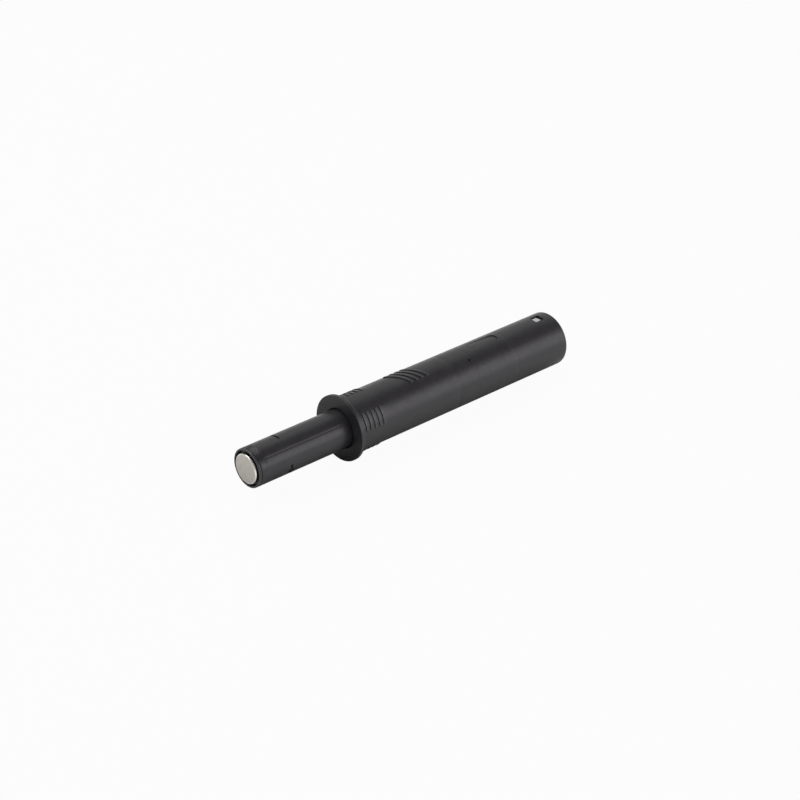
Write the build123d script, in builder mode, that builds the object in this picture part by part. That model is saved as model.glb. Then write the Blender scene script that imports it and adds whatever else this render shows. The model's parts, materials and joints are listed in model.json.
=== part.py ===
from build123d import *

import os
from math import asin, degrees, sqrt

os.makedirs("parts", exist_ok=True)

# Push to open catch, drilled into the front edge of a cabinet panel. A door sits against the
# magnet. Pressing the door pushes the plunger in, a heart-shaped cam in the ejector drops a wire
# follower into its notch, and the next press lets the spring throw the door open.
#
# Millimetres. Y is the axis of the catch: y = 0 is the back face of the flange, +Y runs into the
# panel and the plunger stands out towards -Y. +Z is up, through the upper snap window.
# The part is drawn ejected, and the moving pieces all go +Y when the plunger is pressed.

# ---- what the catch does
stroke = 19.0  # travel of the plunger from ejected to pressed home
latch_return = 1.8  # how far it springs back from pressed home into the latched place
tip_left_proud = 0.5  # plunger still standing out of the flange when pressed home
adjust_in = 1.0  # depth adjustment, plunger screwed in
adjust_out = 4.0  # depth adjustment, plunger screwed out

# ---- housing
body_diameter = 9.9  # for a 10 mm drilled hole
body_wall = 0.8
flange_diameter = 11.7
flange_thickness = 0.8
flange_front_bevel = 0.12
flange_back_bevel = 0.25
guide_length = 4.4  # plunger guide, from the flange's back face to the stop step
mouth_bevel = 0.15
rear_bevel = 0.2
key_width = 1.0  # ribs in the bore that stop the ejector turning
key_height = 0.7

# ---- crush barbs behind the flange
barb_count = 5
barb_pitch = 1.04
barb_height = 0.12
barb_run = 0.7  # length of each barb's gentle slope
barb_root = 0.05  # how deep a barb is rooted in the wall
barb_first = 1.25  # steep face of the first barb
barb_arc = 36.0  # degrees covered by each patch
barb_patches = (-63.0, 27.0, 117.0, 207.0)  # patch centres, from +Z towards -X

# ---- slanted grip ribs on top
grip_count = 4
grip_pitch = 1.22
grip_width = 0.62
grip_height = 0.16
grip_half_span = 2.1
grip_advance = 2.38  # how far a rib runs along the body from one end to the other
grip_middle = 14.3

# ---- shallow marks on the housing
seam_places = (22.4, 27.0, 36.6)  # mould witness lines round the body
seam_width = 0.3
seam_depth = 0.04
field_front = 28.4  # shallow round-ended field on top
field_rear = 35.5
field_width = 2.4
field_depth = 0.16
gate_place = 27.05
gate_angle = 30.0  # degrees from the top, towards +X
gate_diameter = 0.5
gate_depth = 0.15

# ---- snap windows and the end cap that clicks into them
window_width = 1.8
window_length = 2.0
window_setback = 0.1  # behind the front face of the end cap
window_gap = 0.1  # between lug and window
lug_rear_gap = 0.3
lug_depth = 0.4  # top of the lug, below the body's surface
lug_ramp = 0.45
lug_root = 0.3  # how deep a lug is rooted in the cap
cap_length = 3.85
cap_recess = 0.2  # rear face of the cap, inside the end of the body
cap_core_diameter = 5.0
cap_core_depth = 1.7
core_rib = 0.55  # thickness of the crossed ribs in the core
core_rib_recess = 0.35  # ribs, below the cap's rear face
spigot_taper = 0.7
spigot_clear = 0.5  # spigot to ejector when pressed home

# ---- plunger sleeve
plunger_diameter = 6.85
tip_round = 0.2
tip_lip = 0.35  # wall round the magnet's pocket
web_thickness = 1.2
web_bore_diameter = 2.0

# ---- magnet and its carrier
magnet_length = 5.0
magnet_proud = 0.3
magnet_edge = 0.15
carrier_wall = 0.3
carrier_rim_recess = 0.6  # rim of the carrier, inside the sleeve's tip
carrier_head_length = 0.6
carrier_head_lip = 0.3
carrier_slot = 0.4

# ---- ejector
stem_diameter = 5.0
stem_grip = 7.5  # stem that stays in the sleeve, in front of the friction ring
cavity_gap = 0.4
ejector_collar = 0.45
ejector_tail = 1.2  # from the follower's tip to the rear end, when ejected
spring_seat_depth = 2.5  # solid front of the ejector, in front of the spring
ring_height = 0.75  # friction ring that holds the depth setting
ring_width = 0.9
ring_bevel = 0.2
ring_margin = 0.35  # ring's groove, inside the sleeve when that is screwed out

# ---- cam track, cut into a flat on the +X side of the ejector
track_depth = 0.75  # below the flat
ramp_height = 0.25
track_wall = 0.35  # track floor to spring bore
push_lane = -1.0  # z of the lane that the follower takes going in
return_lane = 1.35  # z of the lane that it takes coming out
prong_reach = 0.7  # prongs beside the notch, in front of the resting follower
prong_width = 0.12
island_point = 1.0  # length of the island's pointed rear end

# ---- wire follower and its leaf spring
wire_diameter = 0.6
wire_over_flat = 0.05
tip_over_floor = 0.1
hook_setback = 1.15  # hook, behind the front face of the end cap
hook_reach = 1.4
wire_bend = 0.45
leaf_thickness = 0.15
leaf_width = 1.2
leaf_length = 9.0
leaf_tab = 0.7
leaf_overlap = 0.4  # leaf spring, behind the wire's hook
shank_play = 0.35  # room for the wire's shank to swing in the cap

# ---- ejection spring
spring_wire = 0.45
spring_turns = 8
spring_sides = 6  # the spring's wire is drawn six-sided
wire_sides = 8  # the follower's wire is drawn eight-sided

# ---- fits
running = 0.075  # radial clearance of pieces that slide or turn in each other
close_fit = 0.05
loose = 0.1
touch = 0.02  # left between pieces that rest on each other
home_gap = 0.15  # ejector to end cap when pressed home
lane_gap = 0.15  # follower to lane wall, each side
bore_play = 0.15  # spring to bore
spigot_play = 0.25  # spigot to spring
carrier_play = 0.13  # magnet carrier to its pocket, so that the magnet can tilt

# ---- places and radii that follow from the sizes above
body_radius = body_diameter / 2
bore_radius = body_radius - body_wall
flange_radius = flange_diameter / 2
plunger_radius = plunger_diameter / 2
guide_radius = plunger_radius + running
wire_radius = wire_diameter / 2
lane_half = wire_radius + lane_gap

ejector_radius = bore_radius - running
ejector_front = guide_length + loose
track_front = ejector_front + ejector_collar
follower_y = track_front + lane_half + stroke
ejector_rear = follower_y + ejector_tail
latched_y = follower_y - (stroke - latch_return)

cap_front = ejector_rear + stroke + home_gap
cap_rear = cap_front + cap_length
body_length = cap_rear + cap_recess
window_front = cap_front + window_setback
window_rear = window_front + window_length

stem_radius = stem_diameter / 2
sleeve_bore_radius = stem_radius + close_fit
sleeve_rear = ejector_front - adjust_in - loose
groove_half = ring_width / 2 + loose
groove_y = sleeve_rear - adjust_out - ring_margin - groove_half
stem_front = groove_y - stem_grip
sleeve_bore_front = stem_front - adjust_in - cavity_gap - carrier_head_length
tip_y = -(flange_thickness + stroke + tip_left_proud)
pocket_floor = sleeve_bore_front - web_thickness
magnet_front = tip_y - magnet_proud
magnet_rear = magnet_front + magnet_length

# Stacked inwards from the bore: leaf spring, wire follower, flat, track floor, ejection spring.
leaf_top = sqrt((bore_radius - close_fit) ** 2 - (leaf_width / 2) ** 2)
leaf_low = leaf_top - leaf_thickness
wire_height = leaf_low - touch - wire_radius
flat_height = wire_height - wire_radius - wire_over_flat
track_low = flat_height - track_depth
track_high = track_low + ramp_height
spring_bore_radius = track_low - track_wall
spring_outer = spring_bore_radius - bore_play
spigot_radius = spring_outer - spring_wire - spigot_play
spring_front = ejector_front + spring_seat_depth
hook_y = cap_front + hook_setback


def half_section(points):
    """Full ring turned round the Y axis from (radius, y) corners of half of its section."""
    with BuildPart() as turned:
        with BuildSketch(Plane.XY):
            with BuildLine():
                Polyline(*points, close=True)
            make_face()
        revolve(axis=Axis.Y)
    return turned.part


def finish(builder, name):
    """Labels a finished piece and writes its STEP file."""
    builder.part.label = name
    export_step(builder.part, f"parts/{name}.step")


# ================================================================ housing
flange_root = barb_height + close_fit  # bevel in the corner, as high as clears the barbs
housing_outline = [
    (guide_radius + mouth_bevel, -flange_thickness),
    (flange_radius - flange_front_bevel, -flange_thickness),
    (flange_radius, flange_front_bevel - flange_thickness),
    (flange_radius, -flange_back_bevel),
    (flange_radius - flange_back_bevel, 0),
    (body_radius + flange_root, 0),
    (body_radius, flange_root),
]
for seam in seam_places:
    housing_outline += [
        (body_radius, seam - seam_width / 2),
        (body_radius - seam_depth, seam),
        (body_radius, seam + seam_width / 2),
    ]
housing_outline += [
    (body_radius, body_length - rear_bevel),
    (body_radius - rear_bevel, body_length),
    (bore_radius, body_length),
    (bore_radius, guide_length),
    (guide_radius, guide_length),
    (guide_radius, mouth_bevel - flange_thickness),
]

with BuildPart() as grip_ribs:
    half_rise = grip_advance / 2
    half_width = grip_width / 2
    with BuildSketch(Plane.XY.offset(body_radius - body_wall + loose)):
        with Locations((0, grip_middle)):
            with GridLocations(0, grip_pitch, 1, grip_count):
                Polygon(
                    (-grip_half_span, -half_rise - half_width),
                    (grip_half_span, half_rise - half_width),
                    (grip_half_span, half_rise + half_width),
                    (-grip_half_span, -half_rise + half_width),
                    align=None,
                )
    extrude(amount=body_wall + grip_height)
    Cylinder(
        body_radius + grip_height, 2 * body_length, rotation=(90, 0, 0), mode=Mode.INTERSECT
    )

with BuildPart() as field_cutter:
    with BuildSketch(Plane.XY.offset(bore_radius)):
        with Locations((0, (field_front + field_rear) / 2)):
            SlotOverall(field_rear - field_front, field_width, rotation=90)
    extrude(amount=body_wall + field_depth)
    Cylinder(
        body_radius - field_depth, 2 * body_length, rotation=(90, 0, 0), mode=Mode.SUBTRACT
    )

with BuildPart() as housing:
    add(half_section(housing_outline))
    for centre in barb_patches:
        # Each barb is steep towards the flange and slopes away to the rear.
        start = centre + barb_arc / 2
        slope_end = barb_run * (barb_height + barb_root) / barb_height
        with BuildSketch(Plane.XY.rotated((0, -90 - start, 0))):
            for index in range(barb_count):
                steep = barb_first + index * barb_pitch
                Polygon(
                    (body_radius - barb_root, steep),
                    (body_radius + barb_height, steep),
                    (body_radius - barb_root, steep + slope_end),
                    align=None,
                )
        revolve(axis=Axis.Y, revolution_arc=barb_arc)
    add(grip_ribs.part)
    add(field_cutter.part, mode=Mode.SUBTRACT)
    # Key ribs run down the bore from the stop step to the end cap.
    key_length = cap_front - loose - guide_length
    key_middle = guide_length + key_length / 2
    key_centre = bore_radius - key_height / 2
    for side in (1, -1):
        with Locations((0, key_middle, side * (key_centre + loose))):
            Box(key_width, key_length, key_height + 2 * loose)
    # Snap windows, straight through the wall at the top and the bottom.
    for side in (1, -1):
        with Locations((0, window_front + window_length / 2, side * body_radius)):
            Box(window_width, window_length, 2 * body_wall + 2 * loose, mode=Mode.SUBTRACT)
    # Round gate mark beside the top.
    gate_plane = Plane.XY.rotated((0, gate_angle, 0)).offset(body_radius - gate_depth)
    with BuildSketch(gate_plane):
        with Locations((0, gate_place)):
            Circle(gate_diameter / 2)
    extrude(amount=2 * gate_depth, mode=Mode.SUBTRACT)
finish(housing, "housing")

# ================================================================ end cap
cap_radius = bore_radius - close_fit
spigot_front = spring_front + stroke + spigot_clear
lug_width = window_width - 2 * window_gap
lug_front = window_front + window_gap
lug_rear = window_rear - lug_rear_gap
lug_top = body_radius - lug_depth
leaf_rear = hook_y + wire_radius + leaf_overlap

with BuildPart() as end_cap:
    core_radius = cap_core_diameter / 2
    add(
        half_section(
            [
                (0, spigot_front),
                (spigot_radius - spigot_taper / 2, spigot_front),
                (spigot_radius, spigot_front + 2 * spigot_taper),
                (spigot_radius, cap_front),
                (cap_radius, cap_front),
                (cap_radius, cap_rear),
                (core_radius, cap_rear),
                (core_radius - loose, cap_rear - cap_core_depth),
                (0, cap_rear - cap_core_depth),
            ]
        )
    )
    # Snap lugs, with a ramp that lets them into the housing from behind.
    for side in (1, -1):
        with BuildSketch(Plane.YZ.offset(-lug_width / 2)):
            with BuildLine():
                Polyline(
                    (lug_front, side * (cap_radius - lug_root)),
                    (lug_front, side * cap_radius),
                    (lug_front + lug_ramp, side * lug_top),
                    (lug_rear, side * lug_top),
                    (lug_rear, side * (cap_radius - lug_root)),
                    close=True,
                )
            make_face()
        extrude(amount=lug_width)
    # Crossed ribs stiffen the hollow rear of the cap.
    rib_depth = cap_core_depth - core_rib_recess + touch
    rib_span = cap_core_diameter + loose
    with Locations((0, cap_rear - core_rib_recess - rib_depth / 2, 0)):
        Box(rib_span, rib_depth, core_rib)
        Box(core_rib, rib_depth, rib_span)
    # Socket for the wire's hook, a slot for its shank and a seat for the leaf spring.
    with BuildSketch(Plane.YZ.offset(wire_height - hook_reach - loose)):
        with Locations((hook_y, 0)):
            Circle(wire_radius + close_fit)
    extrude(amount=2 * hook_reach, mode=Mode.SUBTRACT)
    shank_slot = hook_y + wire_radius + close_fit - cap_front
    with BuildSketch(Plane.YZ.offset(flat_height - close_fit)):
        with Locations((cap_front + shank_slot / 2, 0)):
            Rectangle(shank_slot, wire_diameter + shank_play)
    extrude(amount=cap_radius, mode=Mode.SUBTRACT)
    leaf_seat = leaf_rear + touch - cap_front
    with BuildSketch(Plane.YZ.offset(leaf_low)):
        with Locations((cap_front + leaf_seat / 2, 0)):
            Rectangle(leaf_seat, leaf_width + loose)
    extrude(amount=cap_radius, mode=Mode.SUBTRACT)
    tab_slot = leaf_thickness + 2 * touch
    with BuildSketch(Plane.YZ.offset(leaf_low - leaf_tab)):
        with Locations((leaf_rear + touch - tab_slot / 2, 0)):
            Rectangle(tab_slot, leaf_width + loose)
    extrude(amount=cap_radius, mode=Mode.SUBTRACT)
finish(end_cap, "end_cap")

# ================================================================ leaf spring
with BuildPart() as leaf_spring:
    with BuildSketch(Plane.XY.offset(-leaf_width / 2)):
        with BuildLine():
            Polyline(
                (leaf_low, cap_front - leaf_length),
                (leaf_low + leaf_thickness, cap_front - leaf_length),
                (leaf_low + leaf_thickness, leaf_rear),
                (leaf_low - leaf_tab + loose, leaf_rear),
                (leaf_low - leaf_tab + loose, leaf_rear - leaf_thickness),
                (leaf_low, leaf_rear - leaf_thickness),
                close=True,
            )
        make_face()
    extrude(amount=leaf_width)
finish(leaf_spring, "leaf_spring")

# ================================================================ ejector with its cam track
stem_tip_bevel = 0.3
ring_outer = sleeve_bore_radius - touch
ring_inner = ring_outer - ring_height
groove_floor = ring_inner - touch
notch_half = wire_radius + close_fit
island_low = push_lane + lane_half
island_high = return_lane - lane_half
island_middle = (island_low + island_high) / 2
notch_bottom = latched_y + wire_radius + touch
island_front = latched_y - prong_reach
island_rear = follower_y - lane_half - 2 * island_point
wall_low = push_lane - lane_half
wall_high = return_lane + lane_half
ramp_rear = island_rear + island_point


def lane_ramp(lane, high_y, low_y):
    """Wedge on the floor of one lane: it climbs to high_y, where the follower drops off it."""
    with BuildPart() as ramp:
        with BuildSketch(Plane.XY.offset(lane - lane_half)):
            with BuildLine():
                Polyline(
                    (track_low - loose, low_y),
                    (track_low, low_y),
                    (track_high, high_y),
                    (track_low - loose, high_y),
                    close=True,
                )
            make_face()
        extrude(amount=2 * lane_half)
    return ramp.part


with BuildPart() as ejector:
    add(
        half_section(
            [
                (0, stem_front),
                (stem_radius - stem_tip_bevel, stem_front),
                (stem_radius, stem_front + stem_tip_bevel),
                (stem_radius, groove_y - groove_half),
                (groove_floor, groove_y - groove_half),
                (groove_floor, groove_y + groove_half),
                (stem_radius, groove_y + groove_half),
                (stem_radius, ejector_front),
                (ejector_radius - rear_bevel, ejector_front),
                (ejector_radius, ejector_front + rear_bevel),
                (ejector_radius, ejector_rear),
                (spring_bore_radius, ejector_rear),
                (spring_bore_radius, spring_front),
                (0, spring_front),
            ]
        )
    )
    # Flat that the wire lies over, behind a full round collar.
    flat_length = ejector_rear - track_front
    with BuildSketch(Plane.YZ.offset(flat_height)):
        with Locations((track_front + flat_length / 2, 0)):
            Rectangle(flat_length, 2 * ejector_radius)
    extrude(amount=ejector_radius, mode=Mode.SUBTRACT)
    # Track: everything between the outer walls goes down to the floor, round the island.
    with BuildSketch(Plane.YZ.offset(track_low)):
        with Locations((track_front + flat_length / 2, (wall_low + wall_high) / 2)):
            Rectangle(flat_length, wall_high - wall_low)
        with BuildLine():
            Polyline(
                (island_front, island_low + prong_width),
                (notch_bottom - wire_radius, island_middle - notch_half),
                (notch_bottom, island_middle - notch_half / 2),
                (notch_bottom, island_middle + notch_half / 2),
                (notch_bottom - wire_radius, island_middle + notch_half),
                (island_front - wire_radius, island_high - prong_width),
                (island_front - wire_radius, island_high),
                (island_rear, island_high),
                (island_rear + island_point, island_middle),
                (island_rear, island_low),
                (island_front, island_low),
                close=True,
            )
        make_face(mode=Mode.SUBTRACT)
    extrude(amount=ejector_radius, mode=Mode.SUBTRACT)
    add(lane_ramp(push_lane, island_front, ramp_rear))
    add(lane_ramp(return_lane, ramp_rear, island_front))
    # Grooves that run on the housing's key ribs.
    groove_bottom = bore_radius - key_height - loose
    groove_height = ejector_radius
    ejector_length = ejector_rear - ejector_front
    for side in (1, -1):
        groove_centre = side * (groove_bottom + groove_height / 2)
        with Locations((0, ejector_front + ejector_length / 2, groove_centre)):
            Box(key_width + 2 * loose, ejector_length, groove_height, mode=Mode.SUBTRACT)
finish(ejector, "ejector")

with BuildPart() as friction_ring:
    with BuildSketch(Plane.XY):
        with Locations((ring_outer - ring_height / 2, groove_y)):
            section = Rectangle(ring_height, ring_width)
        chamfer(section.vertices(), ring_bevel)
    revolve(axis=Axis.Y)
finish(friction_ring, "friction_ring")

# ================================================================ wire follower
with BuildPart() as latch_wire:
    with BuildLine() as wire_path:
        FilletPolyline(
            (track_high + tip_over_floor, follower_y, push_lane),
            (wire_height, follower_y, push_lane),
            (wire_height, hook_y, 0),
            (wire_height - hook_reach, hook_y, 0),
            radius=wire_bend,
        )
    with BuildSketch(Plane(origin=wire_path.line @ 0, z_dir=wire_path.line % 0)):
        RegularPolygon(wire_radius, wire_sides)
    sweep()
finish(latch_wire, "latch_wire")

# ================================================================ ejection spring
spring_radius = spring_outer - spring_wire / 2
coil_length = cap_front - spring_front - spring_wire

with BuildPart() as ejection_spring:
    with BuildLine() as coil:
        Helix(
            pitch=coil_length / spring_turns,
            height=coil_length,
            radius=spring_radius,
            center=(0, spring_front + spring_wire / 2, 0),
            direction=(0, 1, 0),
        )
    with BuildSketch(Plane(origin=coil.line @ 0, z_dir=coil.line % 0)):
        RegularPolygon(spring_wire / 2, spring_sides)
    sweep(is_frenet=True)
finish(ejection_spring, "ejection_spring")

# ================================================================ plunger sleeve
pocket_radius = plunger_radius - tip_lip
tip_shoulder = tip_round * (1 - sqrt(0.5))  # the round is drawn as two flats that meet on it
with BuildPart() as plunger_sleeve:
    add(
        half_section(
            [
                (pocket_radius, tip_y),
                (plunger_radius - tip_round, tip_y),
                (plunger_radius - tip_shoulder, tip_y + tip_shoulder),
                (plunger_radius, tip_y + tip_round),
                (plunger_radius, sleeve_rear - rear_bevel),
                (plunger_radius - rear_bevel, sleeve_rear),
                (sleeve_bore_radius + rear_bevel, sleeve_rear),
                (sleeve_bore_radius, sleeve_rear - rear_bevel),
                (sleeve_bore_radius, sleeve_bore_front),
                (web_bore_diameter / 2, sleeve_bore_front),
                (web_bore_diameter / 2, pocket_floor),
                (pocket_radius, pocket_floor),
            ]
        )
    )
finish(plunger_sleeve, "plunger_sleeve")

# ================================================================ magnet and its carrier
carrier_radius = pocket_radius - carrier_play
magnet_radius = carrier_radius - carrier_wall
pin_radius = web_bore_diameter / 2 - loose
head_rear = sleeve_bore_front + loose + carrier_head_length

with BuildPart() as magnet_carrier:
    add(
        half_section(
            [
                (0, magnet_rear),
                (magnet_radius, magnet_rear),
                (magnet_radius, tip_y + carrier_rim_recess),
                (carrier_radius, tip_y + carrier_rim_recess),
                (carrier_radius, pocket_floor - loose),
                (pin_radius, pocket_floor - loose),
                (pin_radius, sleeve_bore_front + loose),
                (pin_radius + carrier_head_lip, sleeve_bore_front + loose),
                (pin_radius, head_rear),
                (0, head_rear),
            ]
        )
    )
    # Slot that lets the head spring through the web.
    with Locations((0, head_rear, 0)):
        Box(carrier_slot, 4 * carrier_head_length, 4 * pin_radius, mode=Mode.SUBTRACT)
finish(magnet_carrier, "magnet_carrier")

with BuildPart() as magnet:
    add(
        half_section(
            [
                (0, magnet_front),
                (magnet_radius - magnet_edge, magnet_front),
                (magnet_radius, magnet_front + magnet_edge),
                (magnet_radius, magnet_rear),
                (0, magnet_rear),
            ]
        )
    )
finish(magnet, "magnet")

swing = degrees(asin((return_lane - push_lane) / sqrt((hook_y - follower_y) ** 2 + push_lane**2)))
print("body length", round(body_length, 3), "tip", round(tip_y, 3), "magnet", round(magnet_front, 3))
print("hook", round(wire_height, 3), round(hook_y, 3), "follower", round(follower_y, 3))
print("cap front", round(cap_front, 3), "latched slide", round(stroke - latch_return, 3))
print("follower swing, degrees", round(swing, 3))
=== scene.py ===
# %% [markdown]
# # Push to open catch
#
# A catch that is drilled into the front edge of a cabinet panel. A black tube sits in the hole, its
# thin flange on the panel's edge. A round plunger with a magnet in its tip stands out of it and
# holds the door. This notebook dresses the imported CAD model: it keeps the pieces whose shape is
# already right, and builds finer surfaces over the ones that the eye rests on.

import json
from math import cos, radians, sin

import bmesh
import bpy
import numpy as np
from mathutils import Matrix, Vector


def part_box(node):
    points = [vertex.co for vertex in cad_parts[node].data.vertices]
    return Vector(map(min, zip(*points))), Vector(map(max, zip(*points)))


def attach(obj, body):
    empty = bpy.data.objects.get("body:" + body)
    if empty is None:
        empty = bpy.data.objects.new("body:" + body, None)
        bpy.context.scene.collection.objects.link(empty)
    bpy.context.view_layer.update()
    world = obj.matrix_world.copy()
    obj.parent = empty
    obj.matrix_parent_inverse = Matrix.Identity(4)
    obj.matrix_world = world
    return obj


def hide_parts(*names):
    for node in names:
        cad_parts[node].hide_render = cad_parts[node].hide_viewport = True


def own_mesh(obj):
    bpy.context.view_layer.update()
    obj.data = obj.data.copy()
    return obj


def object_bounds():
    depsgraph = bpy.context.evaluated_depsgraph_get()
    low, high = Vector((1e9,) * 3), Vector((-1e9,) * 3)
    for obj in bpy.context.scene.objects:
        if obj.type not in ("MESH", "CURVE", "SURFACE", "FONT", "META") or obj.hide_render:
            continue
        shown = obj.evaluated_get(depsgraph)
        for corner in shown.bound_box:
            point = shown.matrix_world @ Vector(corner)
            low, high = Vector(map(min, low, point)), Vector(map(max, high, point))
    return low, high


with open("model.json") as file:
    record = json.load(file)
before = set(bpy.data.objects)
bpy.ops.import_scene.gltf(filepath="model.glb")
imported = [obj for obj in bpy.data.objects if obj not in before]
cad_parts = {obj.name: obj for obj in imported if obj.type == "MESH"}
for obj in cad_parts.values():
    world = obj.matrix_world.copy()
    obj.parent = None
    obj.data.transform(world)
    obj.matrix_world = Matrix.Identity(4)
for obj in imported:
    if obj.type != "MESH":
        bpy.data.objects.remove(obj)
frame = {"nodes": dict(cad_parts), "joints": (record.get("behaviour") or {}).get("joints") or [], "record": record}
cad_low, cad_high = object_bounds()
mm = 0.001


def in_mm(*lengths):
    """Lengths in millimetres, rounded, for printing."""
    return [round(float(length) / mm, 2) for length in lengths]


print("CAD box, mm:", in_mm(*cad_low, *cad_high))

# %% [markdown]
# ## Sizes
#
# Every place comes from the CAD: the boxes of its nodes and the mounts in its record. Blender works
# in metres here, so small features are written as a number times `mm`. The catch lies along Y, its
# flange's back face is at y = 0, and the plunger points towards -Y. An angle `turn` goes round the
# axis from the top (+Z) towards +X.

# %% Sizes from the frame
mounts = {mount["name"]: mount for mount in frame["record"]["mounts"]}
body_radius = mounts["drill_in_body"]["dims"]["r_mm"] * mm


def radius_of(node):
    """Half of a round node's width across the axis."""
    low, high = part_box(node)
    return (high.x - low.x) / 2


flange_front, body_rear = (corner.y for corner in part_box("housing"))
flange_radius = radius_of("housing")
sleeve_radius = radius_of("plunger_sleeve")
sleeve_tip, sleeve_rear = (corner.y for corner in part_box("plunger_sleeve"))
magnet_front, magnet_rear = (corner.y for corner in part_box("magnet"))
magnet_radius = radius_of("magnet")
cap_plug = 4.05 * mm  # how far the end cap reaches into the tube
cap_front = body_rear - cap_plug
print("radii of body, flange, sleeve, mm:", in_mm(body_radius, flange_radius, sleeve_radius))

# %% [markdown]
# ## Turned surfaces
#
# Nearly everything here is round, so nearly every piece is one grid: rows are stations along a
# profile, and columns are angles round the axis. The lathe (Spin or Screw) makes plain rings, but a
# grid that is worked out as whole arrays can also carry barbs, ribs and windows, because each point's
# radius and place can depend on both its row and its column. The grid is closed in both directions,
# like a ring doughnut, and points that meet on the axis are welded into a pole.

# %% Grid to mesh
weld_distance = 1e-7


def grid_quads(rows, columns):
    """Quad (i, j) of a grid closed both ways joins points (i, j), (i, j+1), (i+1, j+1), (i+1, j)."""
    i, j = np.meshgrid(np.arange(rows), np.arange(columns), indexing="ij")
    down, right = (i + 1) % rows, (j + 1) % columns
    corners = [i * columns + j, i * columns + right, down * columns + right, down * columns + j]
    return np.stack(corners, axis=-1)


def round_points(turn, radius, along):
    """x = radius sin(turn), y = along, z = radius cos(turn), as an array of points."""
    turn, radius, along = np.broadcast_arrays(turn, radius, along)
    return np.stack([radius * np.sin(turn), along, radius * np.cos(turn)], axis=-1).reshape(-1, 3)


def make_piece(name, points, quads, body, slot, sharp=30, wear_and_highlight=None):
    """Mesh from arrays: welded, facing outwards, smooth but for edges sharper than `sharp` degrees.

    The wear and highlight number, from 0 to 1 for each point, tells the material where hands rub it
    and where a highlight is painted on it.
    """
    mesh = bpy.data.meshes.new(name)
    mesh.from_pydata(points.tolist(), [], quads.reshape(-1, quads.shape[-1]).tolist())
    if wear_and_highlight is not None:
        rubbed_and_highlit = mesh.attributes.new("wear_and_highlight", "FLOAT", "POINT")
        rubbed_and_highlit.data.foreach_set("value", np.asarray(wear_and_highlight, np.float32).ravel())
    welding = bmesh.new()
    welding.from_mesh(mesh)
    bmesh.ops.remove_doubles(welding, verts=welding.verts, dist=weld_distance)
    bmesh.ops.recalc_face_normals(welding, faces=welding.faces)
    welding.to_mesh(mesh)
    welding.free()
    mesh.polygons.foreach_set("use_smooth", np.ones(len(mesh.polygons), bool))
    mesh.set_sharp_from_angle(angle=radians(sharp))
    piece = bpy.data.objects.new(name, mesh)
    bpy.context.scene.collection.objects.link(piece)
    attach(piece, body)
    print(name, len(mesh.vertices), "points,", len(mesh.polygons), "faces")
    return piece


# %% Profiles and columns
column_room = radians(0.6)  # an even column nearer than this to an edge gives way to it


def stretch(radii, places):
    """Profile points (radius, place along the axis), where either may be one number for all."""
    return np.stack(np.broadcast_arrays(radii, places), axis=1)


def eased(corners, ease, steps=6):
    """Open path with its inner corners rounded by small parabolas.

    Corner C becomes the curve (1-t)^2 A + 2t(1-t) C + t^2 B, where A and B lie `ease` before and
    after C along the path. A corner with no ease stays one point.
    """
    corners, ease = np.array(corners, float), np.array(ease, float)[:, None]
    to_previous = np.roll(corners, 1, axis=0) - corners
    to_next = np.roll(corners, -1, axis=0) - corners
    before = corners + ease * to_previous / np.linalg.norm(to_previous, axis=1, keepdims=True)
    after = corners + ease * to_next / np.linalg.norm(to_next, axis=1, keepdims=True)
    t = np.linspace(0, 1, steps + 1)[None, :, None]
    curve = (1 - t) ** 2 * before[:, None] + 2 * t * (1 - t) * corners[:, None] + t**2 * after[:, None]
    return curve[(ease > 0) | (np.arange(steps + 1) == 0)]


def wrapped(turn):
    """The same angle between -pi and pi."""
    return (turn + np.pi) % (2 * np.pi) - np.pi


def columns_with(*features, count=96):
    """Even angles round the circle, with the angles of features' edges put among them."""
    even = np.linspace(-np.pi, np.pi, count, endpoint=False)
    edges = wrapped(np.hstack([[], *(np.ravel(feature) for feature in features)]))
    near = (np.abs(even[:, None] - edges) < column_room).any(axis=1)
    return np.unique(np.round(np.concatenate([even[~near], edges]), 7))


print("a plain ring has", len(columns_with()), "columns")

# %% [markdown]
# ## The housing's relief
#
# The tube is moulded in one piece with everything that grips the hole: four patches of crush barbs
# behind the flange, and four slanted ribs on top. Faint witness lines run round it where mould parts
# met, a shallow round-ended field lies on top, and a gate mark beside it shows where the plastic went
# in. Displacing a fine even mesh would blur these small steps, so instead the grid has a row or a
# column exactly on each edge. Rows are even straightened to suit: they lean along the ribs and bow
# round the ends of the field. Then each feature is a height that rises from 0 to 1 between two lines.

# %% Relief sizes
step = 0.03 * mm  # width of a steep side
barb_places = (1.05 + 0.96 * np.arange(5)) * mm
barb_height, barb_run = 0.14 * mm, 0.68 * mm
patch_middles = np.radians([63.0, -27.0, 153.0, -117.0])
patch_half, patch_side = radians(18), radians(0.4)
rib_places = (14.3 + 1.22 * (np.arange(4) - 1.5)) * mm
rib_half, rib_height = 0.31 * mm, 0.16 * mm
rib_span, rib_end = 2.1 * mm, 0.1 * mm  # half of a rib's width across the tube, and its sloped end
rib_lean = 2.38 * mm / (2 * rib_span)  # way along the tube for each step across it
seam_places = np.array([22.4, 27.0, 36.6]) * mm
seam_half, seam_depth = 0.15 * mm, 0.022 * mm
field_front, field_rear, field_half = 28.4 * mm, 35.5 * mm, 1.2 * mm
field_depth, field_start = 0.16 * mm, 0.04  # full depth, and the share of it at the front end
gate_place, gate_turn = 26.8 * mm, radians(31.5)
gate_radius, gate_depth, gate_side = 0.29 * mm, 0.3 * mm, 0.3  # its side slopes over a share of it
window_front, window_rear = cap_front + 0.1 * mm, cap_front + 2.1 * mm
window_half = 0.9 * mm
print("barbs at", in_mm(*barb_places), "ribs at", in_mm(*rib_places), "windows from", in_mm(window_front))

# %% Tools for the relief
v_groove = np.array([-1, 0, 1])
both = np.array([[-1], [1]])


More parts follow.
